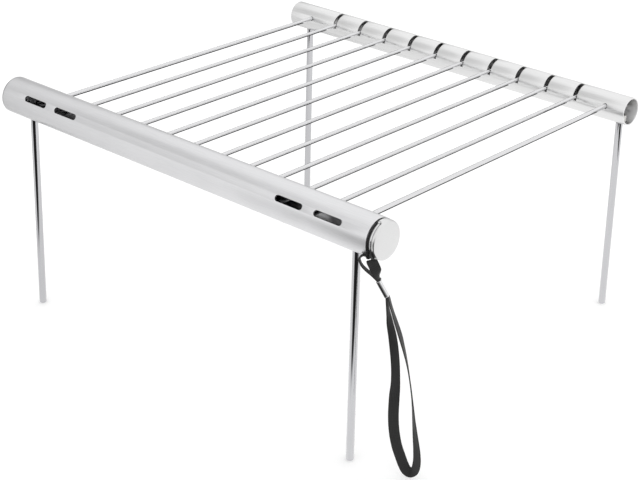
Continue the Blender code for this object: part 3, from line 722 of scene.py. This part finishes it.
# The tape's section in shares of half its width and half its thickness: where its rim starts to round
# off and how wide that is, the selvedge's two edges, and the thickness of body, rib, selvedge and rim
RIM_START = 0.82
RIM_WIDTH = 0.18
SELVEDGE = (0.70, 0.98)
BODY_SHARE = 0.84
RIB_SHARE = 0.06
RIBS = 5
SELVEDGE_SHARE = 0.10
RIM_SHARES = (0.35, 0.65)
SECTION_STEPS = 20
SPAN_STEPS = 8
WRAP_STEPS = 6
STRAP_FACES = Vector((0.550, -0.692, 0.468))
FERRULE_TURN = 80
# The route's places are measured in millimetres from the middle between the legs, on the ground
ROUTE_ORIGIN = front_axis - Vector((front_axis.x + 0.0017, 0, front_axis.z))


def on_route(place):
    return ROUTE_ORIGIN + Vector(place[:3]) * 0.001


ferrule_top = on_route((170.0, -9.0, 133.4))
ferrule_bottom = on_route((175.2, -7.2, 124.8))
eye_left = [on_route(p) for p in (
    (165.7, -10.2, 136.0), (162.7, -11.1, 137.9), (160.2, -12.0, 140.1), (159.0, -12.6, 142.6),
    (159.1, -12.9, 144.8), (160.5, -12.6, 146.4), (162.0, -12.1, 147.0),
)]
eye_right = [on_route(p) for p in (
    (167.0, -12.1, 145.2), (168.6, -11.9, 142.8), (169.7, -11.1, 139.9), (170.2, -10.1, 136.9),
)]
# How far each strand's tape has turned to lie along the wire, and then to face the front right
LEFT_TO_WIRE = (0.0, 0.0, 0.0, 0.05, 0.12, 0.30, 0.65)
RIGHT_TO_WIRE = (0.55, 0.20, 0.0, 0.0)
RIGHT_TO_FRONT = (0.45, 0.80, 0.75, 0.40)
# The loop's places, each with the turn of the tape about its own length in degrees
loop_route = [(*on_route(p), p[3]) for p in (
    (177.7, -5.4, 115.9, 78), (180.2, -4.3, 108.1, 72), (182.7, -3.1, 100.2, 70), (184.8, -1.5, 90.7, 78),
    (186.5, 0.0, 80.9, 86), (187.6, 1.6, 70.2, 90), (188.7, 3.1, 58.0, 92), (189.5, 4.6, 44.3, 102),
    (190.4, 5.7, 32.6, 116), (191.2, 6.7, 22.3, 128), (191.2, 7.2, 14.4, 135), (189.7, 7.5, 8.7, 142),
    (186.6, 7.6, 5.6, 152), (183.6, 7.4, 5.9, 162), (181.3, 7.1, 9.0, 172), (179.4, 6.7, 13.2, 180),
    (176.8, 5.6, 21.1, 180), (175.2, 4.5, 31.3, 180), (175.1, 3.4, 42.0, 180), (176.1, 2.2, 54.5, 170),
    (177.5, 0.9, 66.4, 148), (177.9, -0.3, 77.6, 143), (177.7, -1.7, 88.0, 143), (176.9, -3.1, 98.0, 138),
    (175.5, -4.3, 106.7, 126), (174.7, -5.4, 114.5, 106),
)]


def eased(points):
    """A smooth curve through the points."""
    padded = [points[0], *points, points[-1]]
    path = []
    for a, b, c, d in zip(padded, padded[1:], padded[2:], padded[3:]):
        for t in (step / SPAN_STEPS for step in range(SPAN_STEPS)):
            path.append([
                (
                    2 * q + (r - p) * t + (2 * p - 5 * q + 4 * r - s) * t ** 2
                    + (3 * q - p - 3 * r + s) * t ** 3
                ) / 2
                for p, q, r, s in zip(a, b, c, d)
            ])
    return path + [list(points[-1])]


def turned_width(tangent, degrees):
    """The tape's width direction, turned about its length from facing front right."""
    across = tangent.cross(STRAP_FACES).normalized()
    toward = across.cross(tangent).normalized()
    angle = math.radians(degrees)
    return across * math.cos(angle) + toward * math.sin(angle)


def tangents_of(places):
    ends = [places[0], *places, places[-1]]
    return [(b - a).normalized() for a, b in zip(ends, ends[2:])]


def tape(places, widths, cups):
    """Woven tape along the places, with rounded selvedges and lengthwise ribs.

    A cup bends the section round that centre. The UV map holds the place along and across, in metres.
    """
    half_section = []
    for step in range(SECTION_STEPS + 1):
        share = step / SECTION_STEPS * 2 - 1
        edge = math.sqrt(max(0.0, 1 - max(0.0, abs(share) - RIM_START) ** 2 / RIM_WIDTH ** 2))
        rib = RIB_SHARE * math.cos(share * math.pi * RIBS)
        selvedge = SELVEDGE_SHARE if SELVEDGE[0] < abs(share) < SELVEDGE[1] else 0.0
        rim = RIM_SHARES[0] + RIM_SHARES[1] * edge
        lift = TAPE_THICKNESS / 2 * (BODY_SHARE + rib + selvedge) * rim
        half_section.append((share * TAPE_WIDTH / 2, lift))
    bm = bmesh.new()
    uv = bm.loops.layers.uv.new("tape")
    rings, reach = [], 0.0
    for index, (place, tangent, width, cup) in enumerate(zip(places, tangents_of(places), widths, cups)):
        reach += (place - places[index - 1]).length if index else 0.0
        width = (width - tangent * width.dot(tangent)).normalized()
        normal = tangent.cross(width)
        top, bottom = [], []
        for offset, lift in half_section:
            point = place + width * offset
            if cup is not None:
                toward, share, radius = cup
                point = point + toward * share * offset ** 2 / (2 * radius)
            top.append((bm.verts.new(point + normal * lift), offset))
            bottom.append((bm.verts.new(point - normal * lift), offset))
        rings.append((top + bottom[::-1], reach))
    for (one, before), (two, after) in zip(rings, rings[1:]):
        for i in range(len(one)):
            j = (i + 1) % len(one)
            face = bm.faces.new((one[i][0], one[j][0], two[j][0], two[i][0]))
            for loop, along, across in zip(
                face.loops, (before, before, after, after), (one[i][1], one[j][1], one[j][1], one[i][1]),
            ):
                loop[uv].uv = (along, across)
    bm.faces.new([vert for vert, offset in rings[0][0]])
    bm.faces.new([vert for vert, offset in rings[-1][0]])
    bmesh.ops.recalc_face_normals(bm, faces=bm.faces)
    return bm


def woven_tape(name):
    """Black polyester: ribs along it, and weft lines across it, wider than real ones so they show."""
    made, tree, shader = new_material(
        name, {"Roughness": 0.72, "IOR": 1.5, "Sheen Weight": 0.12, "Sheen Roughness": 0.4},
    )
    place = add_node(tree, "ShaderNodeUVMap", {}, uv_map="tape")
    weft = add_node(
        tree, "ShaderNodeTexWave",
        {"Vector": (place, "UV"), "Scale": 1 / WEFT_SPACING / BANDS, "Distortion": 0.6, "Detail": 1.0},
        wave_type="BANDS", bands_direction="X",
    )
    warp = add_node(
        tree, "ShaderNodeTexWave",
        {"Vector": (place, "UV"), "Scale": 1 / WARP_SPACING / BANDS, "Distortion": 0.3, "Detail": 1.0},
        wave_type="BANDS", bands_direction="Y",
    )
    threads = add_node(tree, "ShaderNodeMath", {0: (weft, "Fac"), 1: (warp, "Fac")}, operation="MULTIPLY")
    fibre = add_node(
        tree, "ShaderNodeTexNoise", {"Vector": (place, "UV"), "Scale": 1400.0, "Detail": 3.0},
    )
    both = add_node(tree, "ShaderNodeMath", {0: (threads, "Value"), 1: (fibre, "Fac")}, operation="ADD")
    tone = add_node(
        tree, "ShaderNodeMapRange",
        {"Value": (both, "Value"), "From Min": 0.3, "From Max": 1.4, "To Min": 0.0, "To Max": 1.0},
    )
    colour = add_node(
        tree, "ShaderNodeMix", {"Factor": (tone, "Result"), "A": linear("090909"), "B": linear("1F1F1F")},
        data_type="RGBA",
    )
    tree.links.new(colour.outputs["Result"], shader.inputs["Base Color"])
    relief = add_node(
        tree, "ShaderNodeBump", {"Height": (both, "Value"), "Strength": 0.8, "Distance": 0.00008},
    )
    tree.links.new(relief.outputs["Normal"], shader.inputs["Normal"])
    return made


down = (ferrule_bottom - ferrule_top).normalized()
ferrule_width = turned_width(down, FERRULE_TURN)
ferrule_normal = down.cross(ferrule_width)
if ferrule_normal.x < 0:
    ferrule_normal = -ferrule_normal
half_gap = ferrule_normal * STRAND_SPACING / 2
wire_point = bail_centre + ring_direction(TAPE_ON_WIRE) * BAIL_RADIUS
inward = -ring_direction(TAPE_ON_WIRE)
along_wire = Vector((0, math.sin(TAPE_ON_WIRE), math.cos(TAPE_ON_WIRE)))
wrap = WIRE_RADIUS + TAPE_WIRE_GAP + TAPE_THICKNESS / 2
round_wire = []
for step in range(WRAP_STEPS + 1):
    angle = math.pi * step / WRAP_STEPS
    sideways = Vector((-math.cos(angle) * wrap, 0, 0))
    round_wire.append(wire_point + sideways + inward * math.sin(angle) * wrap)
mouth = ferrule_top + down * STRAND_IN_FERRULE
eye_keys = (
    [mouth - half_gap, ferrule_top - half_gap] + eye_left + round_wire + eye_right
    + [ferrule_top + half_gap, mouth + half_gap]
)
last_on_wire = 1 + len(eye_left) + len(round_wire)
to_wire = [0.0, 0.0, *LEFT_TO_WIRE] + [1.0] * len(round_wire) + [*RIGHT_TO_WIRE, 0.0, 0.0]
to_front = [0.0] * (last_on_wire + 1) + [*RIGHT_TO_FRONT, 0.0, 0.0]
eye_path = eased([(*key, *turns) for key, *turns in zip(eye_keys, to_wire, to_front)])
eye_places = [Vector(item[:3]) for item in eye_path]
eye_widths, eye_cups = [], []


def alike(direction, other):
    """A tape's width direction, or its opposite if that is nearer to the other direction."""
    return direction if direction.dot(other) > 0 else -direction


front_side = alike(turned_width(down, 0), along_wire)
for index, (item, tangent) in enumerate(zip(eye_path, tangents_of(eye_places))):
    wire_share, face = (max(0.0, min(1.0, share)) for share in item[3:])
    turned = alike(ferrule_width, along_wire if index < last_on_wire * SPAN_STEPS else front_side)
    facing = alike(turned_width(tangent, 0), front_side)
    eye_widths.append(turned.lerp(along_wire, wire_share).lerp(facing, face))
    eye_cups.append((inward, wire_share, BAIL_RADIUS))
# Woven black polyester: nearly matt, with fine ribs that catch a little light
strap_tape = woven_tape("woven_black_polyester_tape")
eye = piece_of(
    "strap_eye_tape", tape(eye_places, eye_widths, eye_cups), strap_tape, None, "strap_tape", "strap_eye",
)
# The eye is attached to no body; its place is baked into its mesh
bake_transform(eye)

mouth = ferrule_bottom - down * STRAND_IN_FERRULE
other_turn = 180 - FERRULE_TURN
loop_keys = (
    [(*(mouth + half_gap), FERRULE_TURN), (*(ferrule_bottom + half_gap), FERRULE_TURN)] + loop_route
    + [(*(ferrule_bottom - half_gap), other_turn), (*(mouth - half_gap), other_turn)]
)
loop_path = eased(loop_keys)
loop_places = [Vector(item[:3]) for item in loop_path]
loop_widths = [turned_width(t, item[3]) for t, item in zip(tangents_of(loop_places), loop_path)]
loop = piece_of(
    "strap_loop_tape", tape(loop_places, loop_widths, [None] * len(loop_path)), strap_tape, "strap",
    "strap_tape", "strap_loop",
)

# The crimped sleeve: polished steel, folded round both strands and pressed flat, its ends rolled in
sleeve = bmesh.new()
half_width = TAPE_WIDTH / 2 + FIT
half_depth = (STRAND_SPACING + TAPE_THICKNESS) / 2 + FIT


def sleeve_outline(half_a, half_b, rounding):
    """Points round a flat oblong with rounded corners."""
    points = []
    for corner, (a, b) in enumerate(((1, 1), (-1, 1), (-1, -1), (1, -1))):
        for step in range(7):
            angle = math.pi / 2 * (corner + step / 6)
            points.append((
                a * (half_a - rounding) + rounding * math.cos(angle),
                b * (half_b - rounding) + rounding * math.sin(angle),
            ))
    return points


rings = []
outer = sleeve_outline(half_width + FERRULE_WALL, half_depth + FERRULE_WALL, FERRULE_ROUNDING)
rolled = FERRULE_WALL * ROLLED_IN
narrowed = sleeve_outline(half_width + rolled, half_depth + rolled, FERRULE_ROUNDING - rolled)
inner = sleeve_outline(half_width, half_depth, FERRULE_ROUNDING - FERRULE_WALL)
roll = down * FERRULE_ROLL
for outline, place in (
    (narrowed, ferrule_top), (outer, ferrule_top + roll), (outer, ferrule_bottom - roll),
    (narrowed, ferrule_bottom), (inner, ferrule_bottom - roll), (inner, ferrule_top + roll),
):
    rings.append([sleeve.verts.new(place + ferrule_width * a + ferrule_normal * b) for a, b in outline])
for ring in rings:
    for pair in zip(ring, ring[1:] + ring[:1]):
        sleeve.edges.new(pair)
for one, two in zip(rings, rings[1:] + rings[:1]):
    edges = [sleeve.edges.get(pair) for ring in (one, two) for pair in zip(ring, ring[1:] + ring[:1])]
    bmesh.ops.bridge_loops(sleeve, edges=edges)
bmesh.ops.recalc_face_normals(sleeve, faces=sleeve.faces)
# Polished sheet, almost a mirror, so that its folds show as black and white lines
polished_sleeve = steel(
    "polished_sleeve_steel", "E2E2E3", "D4D4D6", (900, 900, 900),
    rough=(0.05, 0.10), bump=0.000002,
)
ferrule = piece_of("crimped_sleeve", sleeve, polished_sleeve, "strap", "polished_wire", "strap_ferrule")


# Floor. A plain pale sheet of card, out past the edges of the picture. Polished steel doesn't show
# it: what it shows below the horizon is the bright table under the grill, whose edge is soft and
# which is dimmer towards the left.
FLOOR_RADIUS = 8.0
FLOOR_DROP = 0.0002
TABLE_DROP = 0.0004
TABLE_REACH = 2.0
TABLE_LOW = (-0.90, -0.217)
TABLE_HIGH = (0.40, 1.20)
TABLE_SOFTNESS = 0.045
TABLE_STRENGTH = (0.88, 1.20)
TABLE_FADE = (-0.45, 0.05)
# Only reflections show a thing that these kinds of light ray leave out
REFLECTED_ONLY = ("camera", "diffuse", "shadow")


def studio_thing(name, bm, material, drop, unseen_by):
    """A thing of the studio, lower than the ground by the drop and left out by some light rays."""
    data = bpy.data.meshes.new(name)
    bm.to_mesh(data)
    bm.free()
    data.materials.append(material)
    made = bpy.data.objects.new(name, data)
    bpy.context.scene.collection.objects.link(made)
    made.location.z = -drop
    for ray in unseen_by:
        setattr(made, "visible_" + ray, False)
    return made


floor_mesh = bmesh.new()
bmesh.ops.create_circle(floor_mesh, cap_ends=True, radius=FLOOR_RADIUS, segments=96)
# White card: matt, with a faint light of its own that keeps the ground white to the picture's edges
card = new_material("pale_card", {
    "Base Color": linear("FCFCFC"), "Roughness": 0.9, "Specular IOR Level": 0.1,
    "Emission Color": linear("FFFFFF"), "Emission Strength": 0.07,
})
floor = studio_thing("floor", floor_mesh, card[0], FLOOR_DROP, ("glossy",))

table_mesh = bmesh.new()
bmesh.ops.create_grid(table_mesh, x_segments=1, y_segments=1, size=TABLE_REACH)
# Lit white cloth: it glows, a little less at the left, and is gone past its soft edges
glow, glow_tree, glow_shader = new_material("bright_table_top", {})
glow_tree.nodes.remove(glow_shader)
spot = add_node(glow_tree, "ShaderNodeTexCoord", {})
spot_axes = add_node(glow_tree, "ShaderNodeSeparateXYZ", {"Vector": (spot, "Object")})
cover = None
for axis, low, high in zip("XY", TABLE_LOW, TABLE_HIGH):
    for edge, inner in ((low, low + TABLE_SOFTNESS), (high, high - TABLE_SOFTNESS)):
        side = add_node(
            glow_tree, "ShaderNodeMapRange",
            {"Value": (spot_axes, axis), "From Min": edge, "From Max": inner, "To Min": 0.0, "To Max": 1.0},
            interpolation_type="SMOOTHSTEP",
        )
        cover = side if cover is None else add_node(
            glow_tree, "ShaderNodeMath", {0: (cover, 0), 1: (side, 0)}, operation="MULTIPLY",
        )
fade = add_node(
    glow_tree, "ShaderNodeMapRange",
    {
        "Value": (spot_axes, "X"), "From Min": TABLE_FADE[0], "From Max": TABLE_FADE[1],
        "To Min": TABLE_STRENGTH[0], "To Max": TABLE_STRENGTH[1],
    },
)
shine = add_node(
    glow_tree, "ShaderNodeEmission", {"Color": linear("FFFFFF"), "Strength": (fade, "Result")},
)
beyond = add_node(glow_tree, "ShaderNodeBsdfTransparent", {})
table_top = add_node(
    glow_tree, "ShaderNodeMixShader", {"Fac": (cover, 0), 1: (beyond, "BSDF"), 2: (shine, "Emission")},
)
glow_tree.links.new(table_top.outputs["Shader"], glow_tree.nodes["Material Output"].inputs["Surface"])
table = studio_thing("bright_table", table_mesh, glow, TABLE_DROP, REFLECTED_ONLY)


# Flags. Narrow black cards lie along each rod, close below it and at its left, as a photographer sets
# them to give bright metal its dark outlines. Only reflections show them.
FLAG_SHADE = "4A4A4A"
FLAG_GAP = 0.009
# From a rod's axis: the left and right edge of the flag below and its height, and the place along X
# of the upright flag and its lower and upper edge
FLAG_BELOW = (-0.0015, 0.0042, -0.0021)
FLAG_LEFT = (-0.0032, -0.0003, 0.0022)
flag_start = front_axis.y + front_radius + FLAG_GAP
flag_end = rear_axis.y - rear_radius - FLAG_GAP
between = (flag_start + flag_end) / 2
flag_mesh = bmesh.new()
for rod in GRATE_RODS:
    centre = middle_of(rod)
    below = (centre.x + (FLAG_BELOW[0] + FLAG_BELOW[1]) / 2, between, centre.z + FLAG_BELOW[2])
    beside = (centre.x + FLAG_LEFT[0], between, centre.z + (FLAG_LEFT[1] + FLAG_LEFT[2]) / 2)
    for place, turn, width in (
        (below, 0.0, FLAG_BELOW[1] - FLAG_BELOW[0]), (beside, math.pi / 2, FLAG_LEFT[2] - FLAG_LEFT[1]),
    ):
        bmesh.ops.create_grid(
            flag_mesh, x_segments=1, y_segments=1, size=0.5,
            matrix=(
                Matrix.Translation(place) @ Matrix.Rotation(turn, 4, "Y")
                @ Matrix.Diagonal((width, flag_end - flag_start, 1.0, 1.0))
            ),
        )
# Black flag cloth: a flat dark grey without any gloss
cloth = new_material(
    "black_flag_cloth", {"Base Color": linear(FLAG_SHADE), "Roughness": 1.0, "Specular IOR Level": 0.0},
)
flags = studio_thing("rod_flags", flag_mesh, cloth[0], 0.0, REFLECTED_ONLY)


# Light. A white tent all round gives the soft studio light. Its lower part is dark towards the
# camera and dimmer away behind, which draws the dark lines on the polished steel. It is a little
# dimmer at the left, and a dim strip high in front gives the satin tube its darker band.
TENT_STRENGTH = 1.16
# Each shade's direction, how near to it a look must be for the shade to begin and to be full, and
# the brightness out of it and in it
DARK_FRONT = ((0.655, -0.756, 0.0), (0.35, 0.72), (1.0, 0.02))
DARK_BACK = ((-0.655, 0.756, 0.0), (0.30, 0.60), (1.0, 0.55))
DIM_LEFT = ((-1.0, 0.0, 0.0), (0.62, 0.80), (1.0, 0.86))
DIM_STRIP = ((-0.61, -0.45, 0.65), (0.86, 0.97), (1.0, 0.70))
# The heights between which the front and the back shade give way to the white above them
FRONT_TOP = (-0.12, 0.05)
BACK_TOP = (0.10, 0.35)
world = bpy.data.worlds.new("white_tent")
world.use_nodes = True
bpy.context.scene.world = world
tent = world.node_tree
backdrop = tent.nodes["Background"]
toward = add_node(tent, "ShaderNodeTexCoord", {})
level = add_node(
    tent, "ShaderNodeVectorMath", {0: (toward, "Generated"), 1: (1.0, 1.0, 0.0)}, operation="MULTIPLY",
)
heading = add_node(tent, "ShaderNodeVectorMath", {0: (level, "Vector")}, operation="NORMALIZE")
rise = add_node(tent, "ShaderNodeSeparateXYZ", {"Vector": (toward, "Generated")})


def tent_part(source, direction, spread, shades):
    """A tent shade that goes from one value to the other as the look comes near the direction."""
    near = add_node(tent, "ShaderNodeVectorMath", {0: source, 1: direction}, operation="DOT_PRODUCT")
    return add_node(
        tent, "ShaderNodeMapRange",
        {
            "Value": (near, "Value"), "From Min": spread[0], "From Max": spread[1],
            "To Min": shades[0], "To Max": shades[1],
        },
        interpolation_type="SMOOTHSTEP",
    )


def product(one, two):
    return add_node(tent, "ShaderNodeMath", {0: (one, 0), 1: (two, 0)}, operation="MULTIPLY")


def below_only(shade, heights):
    """A shade that ends between two heights; above them the tent is white."""
    share = add_node(
        tent, "ShaderNodeMapRange",
        {
            "Value": (rise, "Z"), "From Min": heights[0], "From Max": heights[1],
            "To Min": 0.0, "To Max": 1.0,
        },
        interpolation_type="SMOOTHSTEP",
    )
    return add_node(
        tent, "ShaderNodeMix", {"Factor": (share, 0), "A": (shade, 0), "B": 1.0}, data_type="FLOAT",
    )


front_half = below_only(tent_part((heading, "Vector"), *DARK_FRONT), FRONT_TOP)
back_half = below_only(tent_part((heading, "Vector"), *DARK_BACK), BACK_TOP)
dim_left = tent_part((toward, "Generated"), *DIM_LEFT)
dim_strip = tent_part((toward, "Generated"), *DIM_STRIP)
shades = product(product(front_half, back_half), product(dim_left, dim_strip))
brightness = add_node(
    tent, "ShaderNodeMath", {0: (shades, 0), 1: TENT_STRENGTH}, operation="MULTIPLY",
)
tent.links.new(brightness.outputs["Value"], backdrop.inputs["Strength"])
backdrop.inputs["Color"].default_value = linear("FFFFFF")
bpy.context.scene.view_settings.view_transform = "Standard"


# Camera. A long lens, set as the picture was taken: 41 degrees round from the front and 22 above.
PICTURE_WIDTH = 640
FOCAL_PIXELS = 1595.3
CENTRE_OFFSET = (18, -110)
SENSOR = 36.0
CAMERA_PLACE = (0.67498803, -0.63349027, 0.54398402)
CAMERA_RIGHT = Vector((0.75052886, 0.66034174, 0.02559706))
CAMERA_UP = Vector((-0.2627557, 0.26265308, 0.92842491))
camera_data = bpy.data.cameras.new("camera")
camera_data.sensor_width = SENSOR
camera_data.lens = FOCAL_PIXELS / PICTURE_WIDTH * SENSOR
camera_data.shift_x = -CENTRE_OFFSET[0] / PICTURE_WIDTH
camera_data.shift_y = CENTRE_OFFSET[1] / PICTURE_WIDTH
camera = bpy.data.objects.new("camera", camera_data)
bpy.context.scene.collection.objects.link(camera)
camera_turn = Matrix((CAMERA_RIGHT, CAMERA_UP, CAMERA_RIGHT.cross(CAMERA_UP))).transposed()
camera_place = Matrix.Translation(Vector(CAMERA_PLACE) + ROUTE_ORIGIN)
camera.matrix_world = camera_place @ camera_turn.to_4x4()
bpy.context.scene.camera = camera
